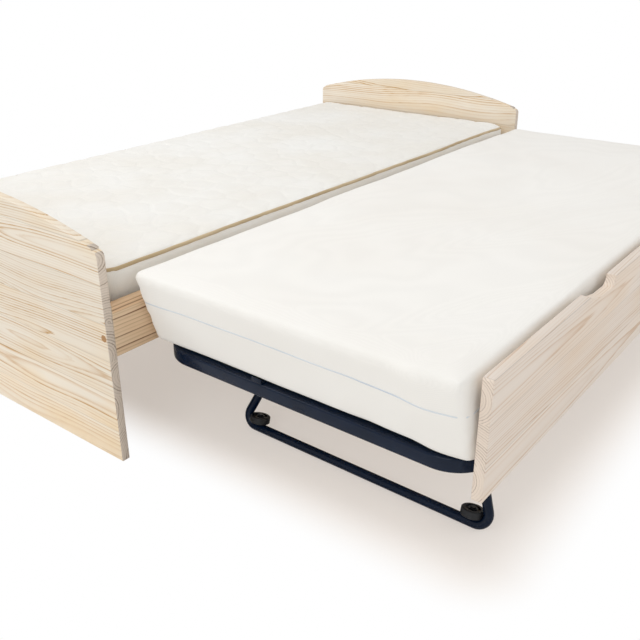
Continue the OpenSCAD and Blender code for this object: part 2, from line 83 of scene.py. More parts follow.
def pine(name, along, across, through, core, stave, ring, pith, pale, blush, late, end, seed,
         warp=0.02, grain=1.0):
    """Planed pine, cut from the log at a given distance from its pith in each stave.

    along, across and through are the axes of the grain, the staves and the thickness, whose
    middle is at core. Growth rings are ring metres apart, wider than the real 3 mm, so that
    they still show at arm's length as pale early wood and thin orange late wood.
    """
    mat, shader = new_material(name)
    math_ = lambda op, *values: add(mat, "Math", values, operation=op).outputs[0]
    place = add(mat, "TexCoord")
    axes = []
    for axis in (along, across, through):
        dot = add(mat, "VectorMath", [place.outputs["Object"], axis], operation="DOT_PRODUCT")
        axes.append(dot.outputs["Value"])
    x, z, y = axes
    y = math_("SUBTRACT", y, core)

    # which stave, and where in it
    count = math_("ADD", math_("DIVIDE", z, stave), 0.37 * seed)
    number = math_("FLOOR", count)
    within = math_("SUBTRACT", count, number)
    dice = add(mat, "TexWhiteNoise", {"W": math_("ADD", number, 11.3 * seed)},
               noise_dimensions="1D").outputs["Color"]
    r1, r2, r3 = add(mat, "SeparateColor", [dice]).outputs

    # slow wander of the pith along the stave, which bends the rings into flames
    here = add(mat, "CombineXYZ", [math_("MULTIPLY", x, 1.3), math_("MULTIPLY", z, 3.2),
                                   math_("ADD", math_("MULTIPLY", y, 3.2),
                                         math_("MULTIPLY", number, 3.71))])
    wander = add(mat, "TexNoise", {"Vector": here.outputs[0], "Scale": 1.0, "Detail": 1.2,
                                   "Roughness": 0.5})
    w1, w2, _ = add(mat, "SeparateColor", [wander.outputs["Color"]]).outputs
    up = math_("MULTIPLY", math_("SUBTRACT", within, math_("ADD", math_("MULTIPLY", r1, 0.9), 0.05)),
               stave)
    up = math_("ADD", math_("ADD", up, pith[1]), math_("MULTIPLY", math_("SUBTRACT", w1, 0.5), warp * 2))
    side = math_("SUBTRACT", math_("GREATER_THAN", r3, 0.5), 0.5)
    deep = math_("MULTIPLY", math_("MULTIPLY", math_("ADD", r2, 0.45), side), pith[0] * 2)
    deep = math_("ADD", math_("SUBTRACT", y, deep), math_("MULTIPLY", math_("SUBTRACT", w2, 0.5), warp * 3))
    radius = add(mat, "VectorMath", [add(mat, "CombineXYZ", [0.0, deep, up]).outputs[0]],
                 operation="LENGTH").outputs["Value"]
    streak_at = add(mat, "CombineXYZ", [math_("MULTIPLY", x, 7.0), math_("MULTIPLY", z, 260.0),
                                        math_("MULTIPLY", y, 260.0)])
    streak = add(mat, "TexNoise", {"Vector": streak_at.outputs[0], "Scale": 1.0, "Detail": 2.0})
    radius = math_("ADD", radius, math_("MULTIPLY", streak.outputs["Fac"], ring * 0.5))
    radius = math_("ADD", radius, math_("MULTIPLY", math_("ADD", x, r1), 0.012))

    # one growth ring after another, each of its own strength
    rings = math_("DIVIDE", radius, ring)
    year = math_("FLOOR", rings)
    vigour = add(mat, "TexWhiteNoise", {"W": math_("ADD", year, math_("MULTIPLY", number, 17.0))},
                 noise_dimensions="1D").outputs["Value"]
    vigour = math_("MULTIPLY_ADD", math_("POWER", vigour, 1.6), 0.85, 0.15)
    dark = add(mat, "ValToRGB", [math_("SUBTRACT", rings, year)],
               stops=[(0.0, 0.30), (0.09, 0.02), (0.50, 0.06), (0.76, 0.42), (0.90, 1.0), (1.0, 0.30)])
    dark = math_("MULTIPLY", math_("MULTIPLY", dark.outputs["Color"], vigour), grain)

    # resin blush in soft clouds, paler and darker staves, thin glue lines, fine fibres
    cloud = add(mat, "TexNoise", {"Vector": here.outputs[0], "Scale": 2.3, "Detail": 2.0})
    cloud = add(mat, "MapRange", [cloud.outputs["Fac"], 0.42, 0.72, 0.0, 0.75], clamp=True)
    body = add(mat, "Mix", {0: cloud.outputs[0], 6: linear(pale), 7: linear(blush)}, data_type="RGBA")
    wood = add(mat, "Mix", {0: dark, 6: body.outputs[2], 7: linear(late)}, data_type="RGBA")
    tone = math_("MULTIPLY_ADD", r2, 0.10, 0.93)
    fibre = math_("MULTIPLY_ADD", streak.outputs["Fac"], 0.10, 0.95)
    edge = math_("ABSOLUTE", math_("SUBTRACT", within, 0.5))
    glue = math_("SUBTRACT", 1.0, math_("MULTIPLY", math_("GREATER_THAN", edge, 0.5 - 0.0007 / stave), 0.22))
    tone = math_("MULTIPLY", math_("MULTIPLY", tone, fibre), glue)
    face = add(mat, "HueSaturation", {"Color": wood.outputs[2], "Value": tone})

    # sawn ends drink the lacquer and turn greyer, with their rings as darker arcs
    facing = add(mat, "VectorMath", [place.outputs["Normal"], along], operation="DOT_PRODUCT")
    is_end = math_("GREATER_THAN", math_("ABSOLUTE", facing.outputs["Value"]), 0.6)
    ends = add(mat, "Mix", {0: math_("MULTIPLY", dark, 0.9), 6: linear(end[0]), 7: linear(end[1])},
               data_type="RGBA")
    both = add(mat, "Mix", {0: is_end, 6: face.outputs[0], 7: ends.outputs[2]}, data_type="RGBA")
    mat.node_tree.links.new(both.outputs[2], shader.inputs["Base Color"])
    rough = math_("MULTIPLY_ADD", streak.outputs["Fac"], 0.16, 0.42)
    mat.node_tree.links.new(rough, shader.inputs["Roughness"])
    shader.inputs["IOR"].default_value = 1.5
    shader.inputs["Specular IOR Level"].default_value = 0.35
    relief = math_("ADD", math_("MULTIPLY", dark, 0.5), streak.outputs["Fac"])
    bump = add(mat, "Bump", {"Strength": 0.16, "Distance": 0.0004, "Height": relief})
    mat.node_tree.links.new(bump.outputs[0], shader.inputs["Normal"])
    return mat


def finish_piece(name, bm, material, body, slot, *nodes, smooth=35):
    """Turns a finished bmesh into a piece on a body, in place of the CAD nodes it stands for."""
    mesh = bpy.data.meshes.new(name)
    for face in bm.faces:
        # a board's broad faces stay flat, so that its eased edges don't shade across them
        face.smooth = smooth > 0 and face.calc_area() < 0.05
    bm.to_mesh(mesh)
    bm.free()
    piece = bpy.data.objects.new(name, mesh)
    bpy.context.collection.objects.link(piece)
    mesh.materials.append(material)
    if smooth:
        mesh.set_sharp_from_angle(angle=math.radians(smooth))
    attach(piece, body)
    if nodes:
        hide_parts(*nodes)
    return piece


def ease(bm, width, segments=2, pick=lambda edge: True, angle=25):
    """Rounds the sharp edges that pick chooses."""
    bmesh.ops.recalc_face_normals(bm, faces=bm.faces)
    sharp = [e for e in bm.edges if len(e.link_faces) == 2
             and e.calc_face_angle(0) > math.radians(angle) and pick(e)]
    bmesh.ops.bevel(bm, geom=sharp, offset=width, offset_type="OFFSET", affect="EDGES",
                    segments=segments, profile=0.5, material=-1, clamp_overlap=True)


def cut_from(node):
    """A clean copy of a CAD node's mesh: corners merged and flat faces joined again."""
    bm = bmesh.new()
    bm.from_mesh(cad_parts[node].data)
    bmesh.ops.remove_doubles(bm, verts=bm.verts, dist=0.00002)
    bmesh.ops.dissolve_limit(bm, angle_limit=math.radians(0.5), verts=bm.verts, edges=bm.edges)
    return bm


X, Y, Z = (1.0, 0.0, 0.0), (0.0, 1.0, 0.0), (0.0, 0.0, 1.0)
for board, seed in (("footboard", 3), ("headboard", 8)):
    bm = cut_from(board)
    low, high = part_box(board)
    # the connector holes, all at the rails' height, are covered by the plugs and rails: they
    # go with the broad faces, and both faces are closed again
    rail_low, rail_high = (corner.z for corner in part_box("front_rail"))
    opened = [f for f in bm.faces if abs(f.normal.x) > 0.9
              or all(rail_low < v.co.z < rail_high for v in f.verts)]
    bmesh.ops.delete(bm, geom=opened, context="FACES")
    bmesh.ops.holes_fill(bm, edges=[e for e in bm.edges if e.is_boundary], sides=0)
    board_pine = pine(board + "_lacquered_pine", along=Y, across=Z, through=X,
                      core=(low.x + high.x) / 2, stave=0.092, ring=0.0066, pith=(0.034, 0.016),
                      pale="f0e6d6", blush="efd7b2", late="c49656", end=("d8cabb", "7d6650"),
                      seed=seed, warp=0.034, grain=1.3)
    round_face = lambda e: abs(e.verts[0].co.x - e.verts[1].co.x) < 1e-4
    ease(bm, 0.0022, 3, round_face)
    finish_piece(board + "_boards", bm, board_pine, "main_bed", "pine_board", board)


# ---- Side rails --------------------------------------------------------------------
# Straight pine boards on edge between the end boards, quarter sawn, so that their rings
# lie as even orange and brown stripes along the faces. Bolts pull them to the ends.

for rail in ("front_rail", "back_rail"):
    bm = cut_from(rail)
    low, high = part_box(rail)
    rail_pine = pine(rail + "_striped_pine", along=X, across=Z, through=Y,
                     core=(low.y + high.y) / 2, stave=0.60, ring=0.0090, pith=(0.012, 0.16),
                     pale="e6caa8", blush="d6ab80", late="6a3f20", end=("d6c4ab", "9d8468"),
                     seed=1, warp=0.004, grain=1.5)
    on_corners = lambda e: all(min(abs(v.co.y - low.y), abs(v.co.y - high.y)) < 1e-4
                               and min(abs(v.co.z - low.z), abs(v.co.z - high.z)) < 1e-4
                               for v in e.verts)
    ease(bm, 0.002, 2, on_corners)
    finish_piece(rail + "_board", bm, rail_pine, "main_bed", "pine_board", rail)


# ---- Cleats and main slats -----------------------------------------------------------
# Planed pine battens under the main mattress: two cleats screwed inside the rails, and
# slats across them, left without lacquer. All of it is hidden until the bed is stripped.

def batten(node, width, body, slot, wood, along, across, through, **cut):
    """A square-cut batten with its long edges lightly sanded."""
    bm = cut_from(node)
    low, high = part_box(node)
    core = (low + high).dot(Vector(through)) / 2
    ease(bm, width, 2, lambda e: e.calc_length() > 0.2)
    material = pine(wood, along, across, through, core, **cut)
    finish_piece(node + "_planed", bm, material, body, slot, node)


planed = dict(stave=0.5, ring=0.006, pith=(0.05, 0.02), pale="ead6b8", blush="e0c096",
              late="b98b5b", end=("d8c7ae", "a1886b"), seed=5, warp=0.010)
batten("front_cleat", 0.0015, "main_bed", "pine_slat", "front_cleat_planed_pine", X, Z, Y, **planed)
batten("back_cleat", 0.0015, "main_bed", "pine_slat", "back_cleat_planed_pine", X, Z, Y, **planed)
batten("main_slats", 0.0022, "main_bed", "pine_slat", "slats_planed_pine", Y, X, Z,
       **{**planed, "stave": 0.1433})


# ---- Connectors of the main bed --------------------------------------------------------
# Zinc-plated bolts and barrel nuts, fluted beech dowels, and turned beech plugs pressed
# into the counterbores, which stand a hair proud of the end boards as small brown discs.

zinc, shader = new_material("bright_zinc_plate")
where = add(zinc, "TexCoord").outputs["Object"]
spangle = add(zinc, "TexNoise", {"Vector": where, "Scale": 420.0, "Detail": 3.0})
tint = add(zinc, "ValToRGB", [spangle.outputs["Fac"]], stops=[(0.3, "9fa3a6"), (0.7, "c9cccd")])
zinc.node_tree.links.new(tint.outputs["Color"], shader.inputs["Base Color"])
grit = add(zinc, "MapRange", [spangle.outputs["Fac"], 0.3, 0.7, 0.24, 0.42])
zinc.node_tree.links.new(grit.outputs[0], shader.inputs["Roughness"])
shader.inputs["Metallic"].default_value = 1.0
ripple = add(zinc, "Bump", {"Strength": 0.08, "Distance": 0.0002, "Height": spangle.outputs["Fac"]})
zinc.node_tree.links.new(ripple.outputs[0], shader.inputs["Normal"])
for node in ("cleat_screws", "main_slat_screws", "rail_bolts", "barrel_nuts", "panel_screws",
             "bracket_bolts", "foot_pivot_pins", "head_pivot_pins"):
    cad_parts[node].data.materials.clear()
    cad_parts[node].data.materials.append(zinc)

beech, shader = new_material("turned_beech_end_grain")
where = add(beech, "TexCoord").outputs["Object"]
fleck = add(beech, "TexNoise", {"Vector": where, "Scale": 900.0, "Detail": 3.0})
tint = add(beech, "ValToRGB", [fleck.outputs["Fac"]], stops=[(0.35, "8d6238"), (0.65, "c79a66")])
beech.node_tree.links.new(tint.outputs["Color"], shader.inputs["Base Color"])
shader.inputs["Roughness"].default_value = 0.55
pores = add(beech, "Bump", {"Strength": 0.25, "Distance": 0.0003, "Height": fleck.outputs["Fac"]})
beech.node_tree.links.new(pores.outputs[0], shader.inputs["Normal"])
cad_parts["rail_dowels"].data.materials.clear()
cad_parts["rail_dowels"].data.materials.append(beech)

plug_low, plug_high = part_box("bolt_plugs")
plug_r = 0.0087
bm = bmesh.new()
for x, out in ((plug_low.x, -1), (plug_high.x, 1)):
    for y in (plug_low.y + 0.00895, plug_high.y - 0.00895):
        disc = bmesh.ops.create_circle(
            bm, cap_ends=True, segments=28, radius=plug_r,
            matrix=Matrix.Translation((x - out * 0.005, y, (plug_low.z + plug_high.z) / 2))
            @ Matrix.Rotation(math.radians(90), 4, "Y"))["verts"]
        face = disc[0].link_faces[0]
        for step, shrink in ((0.0050, 1.0), (0.0007, 0.90)):
            face = bmesh.ops.extrude_discrete_faces(bm, faces=[face])["faces"][0]
            centre = face.calc_center_median()
            for v in face.verts:
                v.co = centre + (v.co - centre) * shrink + Vector((out * step, 0, 0))
bmesh.ops.recalc_face_normals(bm, faces=bm.faces)
finish_piece("turned_bolt_plugs", bm, beech, "main_bed", "plug_wood", "bolt_plugs", smooth=25)


# ---- Main mattress ---------------------------------------------------------------------
# A spring mattress under a thick polyester quilt, sewn to it in rounded, wandering cells
# a palm wide. The off-white knit puffs up between the stitches and shades to cream.

def knit(name, light, shade, thread, cloud_size, bump=0.35, sheen=0.25):
    """Knitted cover: rows of stitches at thread metres, with soft clouds of tone."""
    mat, shader = new_material(name)
    where = add(mat, "TexCoord").outputs["Object"]
    cloud = add(mat, "TexNoise", {"Vector": where, "Scale": 1 / cloud_size, "Detail": 3.0})
    tint = add(mat, "ValToRGB", [cloud.outputs["Fac"]], stops=[(0.35, shade), (0.62, light)])
    rows = [add(mat, "TexWave", {"Vector": where, "Scale": 0.31 / thread, "Distortion": 1.2,
                                 "Detail": 1.0, "Detail Scale": 3.0},
                bands_direction=way, wave_type="BANDS").outputs["Fac"] for way in ("X", "Y", "Z")]
    weave = add(mat, "Math", [rows[0], rows[1]], operation="ADD").outputs[0]
    weave = add(mat, "Math", [weave, rows[2]], operation="ADD").outputs[0]
    fuzz = add(mat, "TexNoise", {"Vector": where, "Scale": 1 / thread, "Detail": 2.0})
    weave = add(mat, "Math", [weave, fuzz.outputs["Fac"]], operation="ADD").outputs[0]
    value = add(mat, "MapRange", [weave, 0.6, 3.2, 0.965, 1.02])
    cloth = add(mat, "HueSaturation", {"Color": tint.outputs["Color"], "Value": value.outputs[0]})
    mat.node_tree.links.new(cloth.outputs[0], shader.inputs["Base Color"])
    shader.inputs["Roughness"].default_value = 0.88
    shader.inputs["Sheen Weight"].default_value = sheen
    shader.inputs["Sheen Roughness"].default_value = 0.5
    shader.inputs["Specular IOR Level"].default_value = 0.25
    relief = add(mat, "Bump", {"Strength": bump, "Distance": 0.0006, "Height": weave})
    mat.node_tree.links.new(relief.outputs[0], shader.inputs["Normal"])
    return mat


def soft_block(low, high, corner, crease, inset):
    """A closed block a little smaller than its space, with rounded corners and edges."""
    bm = bmesh.new()
    bmesh.ops.create_cube(bm, size=1.0)
    span = high - low - Vector((2 * inset, 2 * inset, inset))
    centre = (low + high) / 2 - Vector((0, 0, inset / 2))
    bmesh.ops.transform(bm, verts=bm.verts, matrix=Matrix.Translation(centre)
                        @ Matrix.Diagonal((span.x, span.y, span.z, 1.0)))
    upright = [e for e in bm.edges if abs(e.verts[0].co.z - e.verts[1].co.z) > 0.01]
    bmesh.ops.bevel(bm, geom=upright, offset=corner, offset_type="OFFSET", affect="EDGES",
                    segments=8, profile=0.5, material=-1)
    ease(bm, crease, 5, lambda e: abs(e.verts[0].co.z - e.verts[1].co.z) < 0.001, angle=60)
    return bm


def inflate(name, bm, voxel, pressure, cap, floor_z, box):
    """Fills a closed form like a cushion: remesh, a short cloth simulation, capped moves.

    Returns a bmesh of the result. Points stay above floor_z and inside box.
    """
    mesh = bpy.data.meshes.new(name + "_form")
    bm.to_mesh(mesh)
    bm.free()
    form = bpy.data.objects.new(name + "_form", mesh)
    bpy.context.collection.objects.link(form)
    remesh = form.modifiers.new("even", "REMESH")
    remesh.mode = "VOXEL"
    remesh.voxel_size = voxel
    flat = bpy.data.meshes.new_from_object(form.evaluated_get(bpy.context.evaluated_depsgraph_get()))
    form.modifiers.clear()
    form.data = flat
    before = [v.co.copy() for v in flat.vertices]
    after = before
    cloth = form.modifiers.new("filling", "CLOTH")
    cloth.settings.quality = 4
    cloth.settings.use_pressure = True
    cloth.settings.uniform_pressure_force = pressure
    cloth.settings.tension_stiffness = 12
    cloth.settings.compression_stiffness = 12
    cloth.settings.bending_stiffness = 0.6
    cloth.settings.effector_weights.gravity = 0.0
    cloth.collision_settings.use_collision = False
    for step in range(1, 21):
        bpy.context.scene.frame_set(step)
    done = form.evaluated_get(bpy.context.evaluated_depsgraph_get())
    after = [v.co.copy() for v in done.data.vertices]
    bpy.context.scene.frame_set(1)
    bm = bmesh.new()
    bm.from_mesh(flat)
    bm.verts.ensure_lookup_table()
    for vert, old, new in zip(bm.verts, before, after):
        move = new - old
        if move.length > cap:
            move *= cap / move.length
        vert.co = old + move
        for i in range(3):
            vert.co[i] = min(max(vert.co[i], box[0][i]), box[1][i])
        vert.co.z = max(vert.co.z, floor_z)
    bpy.data.objects.remove(form)
    return bm


main_low, main_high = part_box("main_mattress")
quilt_knit = knit("quilted_polyester_knit", light="f4f2ed", shade="f0ece4", thread=0.0016,
                  cloud_size=0.30)
bm = soft_block(main_low, main_high, corner=0.040, crease=0.018, inset=0.004)
bm = inflate("main_mattress", bm, voxel=0.0125, pressure=3.0, cap=0.010,
             floor_z=main_low.z + 0.001, box=(main_low, main_high))
bmesh.ops.smooth_vert(bm, verts=bm.verts, factor=0.5, use_axis_x=True, use_axis_y=True,
                      use_axis_z=True)
# finer only where the quilt shows its stitches: the whole top and the upper sides
upper = [e for e in bm.edges if max(v.co.z for v in e.verts) > main_low.z + 0.02]
bmesh.ops.subdivide_edges(bm, edges=upper, cuts=1, use_grid_fill=True, smooth=0.0)

cell = 0.088
tufts = {}
dice = random.Random(41)
for i in range(-2, int(2.2 / cell) + 2):
    for j in range(-2, int(1.1 / cell) + 2):
        tufts[i, j] = Vector(((i + 0.5 * (j % 2) + dice.uniform(-0.26, 0.26)) * cell + main_low.x,
                              (j + dice.uniform(-0.26, 0.26)) * cell * 0.92 + main_low.y))


def puff(point):
    """Height of the quilt at a point on the top: low along the stitches, full between."""
    wave = noise.noise_vector(Vector((point.x * 9, point.y * 9, 0.3))) * 0.016
    at = Vector((point.x + wave.x, point.y + wave.y))
    i0 = round((at.x - main_low.x) / cell)
    j0 = round((at.y - main_low.y) / (cell * 0.92))
    near = sorted((at - tufts[i, j]).length for i in range(i0 - 2, i0 + 3) for j in range(j0 - 2, j0 + 3)
                  if (i, j) in tufts)[:2]
    gap = min((near[1] - near[0]) / (cell * 0.62), 1.0)
    return math.sqrt(gap) * (2 - math.sqrt(gap))


bm.normal_update()
swell = 0.0048
for v in bm.verts:
    up = max(v.normal.z, 0.0)
    side = 1.0 - abs(v.normal.z)
    rise = (puff(v.co) - 0.75) * swell * min(1.0, up * 1.2)
    roll = noise.noise(Vector((v.co.x * 3.1, v.co.y * 3.1, v.co.z * 9.0))) * 0.0035
    dent = noise.noise(Vector((v.co.x * 14, v.co.y * 14, v.co.z * 22.0))) * 0.0025 * side
    v.co += v.normal * (rise + roll * (up + side) + dent)
    v.co.z = max(v.co.z, main_low.z + 0.001)
main_mattress = finish_piece("main_mattress_quilt", bm, quilt_knit, "main_bed", "quilt_fabric",
                             "main_mattress", smooth=180)


def ring_on(piece, height, radius, name, material, body, slot, wobble=0.0015, step=0.02):
    """A sewn cord that follows a mattress's side all round at a height."""
    tree = BVHTree.FromObject(piece, bpy.context.evaluated_depsgraph_get())
    low = Vector([min(v.co[i] for v in piece.data.vertices) for i in range(3)])
    high = Vector([max(v.co[i] for v in piece.data.vertices) for i in range(3)])
    centre = (low + high) / 2
    half = (high - low) / 2
    spots = []
    count = int(2 * (half.x + half.y) * 2 / step)
    for k in range(count):
        turn = 2 * math.pi * k / count
        # walk a rounded rectangle, so that the spots are even along long sides
        c, s = math.cos(turn), math.sin(turn)
        far = max(abs(c), abs(s))
        aim = Vector((centre.x + half.x * 1.2 * c / far, centre.y + half.y * 1.2 * s / far, 0))
        aim.z = height + noise.noise(Vector((aim.x * 2, aim.y * 2, 4.0))) * wobble
        goal = Vector((min(max(aim.x, low.x + 0.12), high.x - 0.12),
                       min(max(aim.y, low.y + 0.12), high.y - 0.12), aim.z))
        hit = tree.ray_cast(aim, (goal - aim).normalized())[0]
        if hit is not None:
            spots.append(hit + (goal - aim).normalized() * radius * 0.4)
    curve = bpy.data.curves.new(name + "_path", "CURVE")
    curve.dimensions = "3D"
    spline = curve.splines.new("POLY")
    spline.points.add(len(spots) - 1)
    for point, spot in zip(spline.points, spots):
        point.co = (*spot, 1.0)
    spline.use_cyclic_u = True
    curve.bevel_depth = radius
    curve.bevel_resolution = 2
    path = bpy.data.objects.new(name + "_path", curve)
    bpy.context.collection.objects.link(path)
    bm = bmesh.new()
    bm.from_mesh(bpy.data.meshes.new_from_object(
        path.evaluated_get(bpy.context.evaluated_depsgraph_get())))
    bpy.data.objects.remove(path)
    return finish_piece(name, bm, material, body, slot, smooth=180)


tape = knit("woven_edge_tape", light="cfb996", shade="b39a72", thread=0.0012, cloud_size=0.2)
ring_on(main_mattress, main_high.z - 0.013, 0.0050, "main_mattress_top_tape", tape, "main_bed",
        "quilt_fabric")
ring_on(main_mattress, main_low.z + 0.022, 0.0042, "main_mattress_low_tape", tape, "main_bed",
        "quilt_fabric")


# ---- Frame of the second bed -------------------------------------------------------------
# Rectangular steel tube bent to one long ring with round corners, then powder coated in
# a gloss navy that is almost black from above and shows a thin bright line on its edges.

navy, shader = new_material("gloss_navy_powder_coat")
where = add(navy, "TexCoord").outputs["Object"]
# orange peel of a powder coat, about a millimetre across
peel = add(navy, "TexNoise", {"Vector": where, "Scale": 700.0, "Detail": 2.0})
cloud = add(navy, "TexNoise", {"Vector": where, "Scale": 11.0, "Detail": 3.0})
tint = add(navy, "ValToRGB", [cloud.outputs["Fac"]], stops=[(0.35, "081629"), (0.65, "0b1c32")])
navy.node_tree.links.new(tint.outputs["Color"], shader.inputs["Base Color"])
gloss = add(navy, "MapRange", [cloud.outputs["Fac"], 0.3, 0.7, 0.13, 0.20])
navy.node_tree.links.new(gloss.outputs[0], shader.inputs["Roughness"])
shader.inputs["Specular IOR Level"].default_value = 0.20
shader.inputs["Coat Weight"].default_value = 0.05
shader.inputs["Coat Roughness"].default_value = 0.10
ripple = add(navy, "Bump", {"Strength": 0.06, "Distance": 0.0003, "Height": peel.outputs["Fac"]})
navy.node_tree.links.new(ripple.outputs[0], shader.inputs["Normal"])

frame_low, frame_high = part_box("trundle_frame")
tube_b, corner_r = 0.034, 0.090
bm = bmesh.new()
section = bmesh.ops.create_grid(bm, x_segments=1, y_segments=1, size=0.5)["verts"]
bmesh.ops.delete(bm, geom=list(bm.faces), context="FACES_ONLY")
start = Vector((frame_low.x + corner_r, frame_low.y + tube_b / 2,
                (frame_low.z + frame_high.z) / 2))
bmesh.ops.transform(bm, verts=section, matrix=Matrix.Translation(start)
                    @ Matrix.Rotation(math.radians(90), 4, "Y")
                    @ Matrix.Diagonal((frame_high.z - frame_low.z, tube_b, 1.0, 1.0)))
# round the tube's own corners
bmesh.ops.bevel(bm, geom=list(bm.verts), offset=0.0045, offset_type="OFFSET", affect="VERTICES",
                segments=4, profile=0.5, material=-1)
span = frame_high - frame_low - Vector((2 * corner_r, 2 * corner_r, 0))
rim = list(bm.edges)
for side in range(4):
    way = (Vector((span.x, 0, 0)), Vector((0, span.y, 0)))[side % 2] * (1 if side < 2 else -1)
    grown = bmesh.ops.extrude_edge_only(bm, edges=rim)["geom"]
    moved = [g for g in grown if isinstance(g, bmesh.types.BMVert)]
    bmesh.ops.translate(bm, verts=moved, vec=way)
    rim = [g for g in grown if isinstance(g, bmesh.types.BMEdge)]
    pivot = Vector((frame_high.x - corner_r if side in (0, 1) else frame_low.x + corner_r,
                    frame_low.y + corner_r if side in (0, 3) else frame_high.y - corner_r, 0))
    turned = bmesh.ops.spin(bm, geom=rim + moved, cent=pivot, axis=(0, 0, 1),
                            angle=math.radians(90), steps=14)["geom_last"]
    rim = [g for g in turned if isinstance(g, bmesh.types.BMEdge)]
bmesh.ops.remove_doubles(bm, verts=bm.verts, dist=0.0001)
bmesh.ops.recalc_face_normals(bm, faces=bm.faces)
finish_piece("bent_frame_tube", bm, navy, "trundle", "navy_steel", "trundle_frame", smooth=50)


# ---- Ledges, crossbars, brackets and stops -----------------------------------------------
# Pressed and cut steel parts welded to the frame before coating: strips that carry the
# slats, a cross tube with ears for each leg, plates behind the panel, upright tabs.

for node in ("trundle_ledges", "foot_crossbar", "head_crossbar", "panel_brackets", "mattress_stops",
             "foot_bushes", "head_bushes"):
    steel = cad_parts[node]
    steel.data.materials.clear()
    steel.data.materials.append(navy)
    if node in ("mattress_stops", "panel_brackets"):
        bm = cut_from(node)
        ease(bm, 0.0007, 2)
        finish_piece(node + "_eased", bm, navy, "trundle", "navy_steel", node)


# ---- Slats of the second bed ---------------------------------------------------------------
# Thin slats of pressed birch veneers, slightly darker than the pine, each end pushed into
# a moulded black nylon cup that clips on the ledge.

batten("trundle_slats", 0.003, "trundle", "slat_wood", "pressed_birch_slats", Y, X, Z,
       stave=0.13, ring=0.010, pith=(0.12, 0.05), pale="e2c69d", blush="d6b083", late="b58a5c",
       end=("c9ab80", "8b6a45"), seed=9, warp=0.03, grain=0.6)

nylon, shader = new_material("moulded_black_nylon")
where = add(nylon, "TexCoord").outputs["Object"]
grain = add(nylon, "TexNoise", {"Vector": where, "Scale": 1400.0, "Detail": 2.0})
tint = add(nylon, "ValToRGB", [grain.outputs["Fac"]], stops=[(0.3, "0d0e11"), (0.7, "191b20")])
nylon.node_tree.links.new(tint.outputs["Color"], shader.inputs["Base Color"])
shader.inputs["Roughness"].default_value = 0.38
relief = add(nylon, "Bump", {"Strength": 0.12, "Distance": 0.0002, "Height": grain.outputs["Fac"]})
nylon.node_tree.links.new(relief.outputs[0], shader.inputs["Normal"])
bm = cut_from("slat_holders")
ease(bm, 0.0008, 2)
finish_piece("moulded_slat_cups", bm, nylon, "trundle", "black_plastic", "slat_holders")


# ---- Front panel -----------------------------------------------------------------------------
# The board that closes the bed when the second bed is stowed: glued pine with straight,
# pale grain and a scooped notch where a hand takes hold.

bm = cut_from("front_panel")
low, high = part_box("front_panel")
panel_pine = pine("front_panel_lacquered_pine", along=X, across=Z, through=Y,
                  core=(low.y + high.y) / 2, stave=0.088, ring=0.0050, pith=(0.026, 0.02),
                  pale="e9ddd1", blush="e6d0b8", late="c49b72", end=("e8d8c8", "6b4c33"),
                  seed=2, warp=0.006, grain=0.8)
round_face = lambda e: all(min(abs(v.co.y - low.y), abs(v.co.y - high.y)) < 1e-4 for v in e.verts)
screw_hole = lambda e: all(abs(v.co.y - high.y) < 1e-4 for v in e.verts) and e.calc_length() < 0.003
ease(bm, 0.0016, 2, lambda e: round_face(e) and not screw_hole(e))
finish_piece("front_panel_board", bm, panel_pine, "trundle", "pine_board", "front_panel")


# ---- Second mattress ---------------------------------------------------------------------------
# A tall foam mattress in a smooth, loose cotton cover. It bulges between its edges, draws
# in at the bottom of its ends, and a zip with a pale blue-grey cord runs round it low down.

low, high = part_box("trundle_mattress")
cover = knit("stretched_cotton_cover", light="f6f3ed", shade="f3efe8", thread=0.0010, cloud_size=0.45,
             bump=0.22, sheen=0.35)
tuck, rise_of_tuck = 0.080, 0.064
bm = soft_block(low, high, corner=0.016, crease=0.011, inset=0.0005)
for v in bm.verts:
    t = max(0.0, 1 - (v.co.z - low.z) / rise_of_tuck)
    reach = 1 - tuck * t * t * 0.95 / ((high.x - low.x) / 2)
    v.co.x = (low.x + high.x) / 2 + (v.co.x - (low.x + high.x) / 2) * reach
# how far the cover may stand proud of its space: at the ends, and at the top
proud_end, proud_top = 0.004, 0.006
bm = inflate("trundle_mattress", bm, voxel=0.0125, pressure=3.0, cap=0.008, floor_z=low.z,
             box=(low - Vector((proud_end, 0, 0)),
                  high + Vector((proud_end, 0.001, proud_top / 2))))
for v in bm.verts:
    t = max(0.0, 1 - (v.co.z - low.z) / rise_of_tuck)
    limit = (high.x - low.x) / 2 - tuck * t
    away = v.co.x - (low.x + high.x) / 2
    v.co.x = (low.x + high.x) / 2 + max(-limit, min(limit, away))
bmesh.ops.smooth_vert(bm, verts=bm.verts, factor=0.5, use_axis_x=True, use_axis_y=True,
                      use_axis_z=True)
bm.normal_update()
for v in bm.verts:
    side = 1.0 - abs(v.normal.z)
    long_roll = noise.noise(Vector((v.co.x * 1.7, v.co.y * 2.3, v.co.z * 3.0))) * 0.0055
    pull = noise.noise(Vector((v.co.x * 3.0 + v.co.y * 6.0, v.co.y * 2.0 - v.co.x, 5.0))) ** 3 * 0.012
    soft = noise.noise(Vector((v.co.x * 9, v.co.y * 9, v.co.z * 16))) * 0.0016 * (0.4 + side)
    v.co += v.normal * (long_roll + pull + soft)
    v.co.z = max(v.co.z, low.z)
    for i, proud in enumerate((proud_end, 0.001, proud_top)):
        v.co[i] = min(max(v.co[i], low[i] - proud_end * (i < 1)), high[i] + proud)
bmesh.ops.subdivide_edges(bm, edges=[e for e in bm.edges if max(v.co.z for v in e.verts) > low.z + 0.01],
                          cuts=1, use_grid_fill=True, smooth=0.0)
bmesh.ops.smooth_vert(bm, verts=bm.verts, factor=0.5, use_axis_x=True, use_axis_y=True,
                      use_axis_z=True)
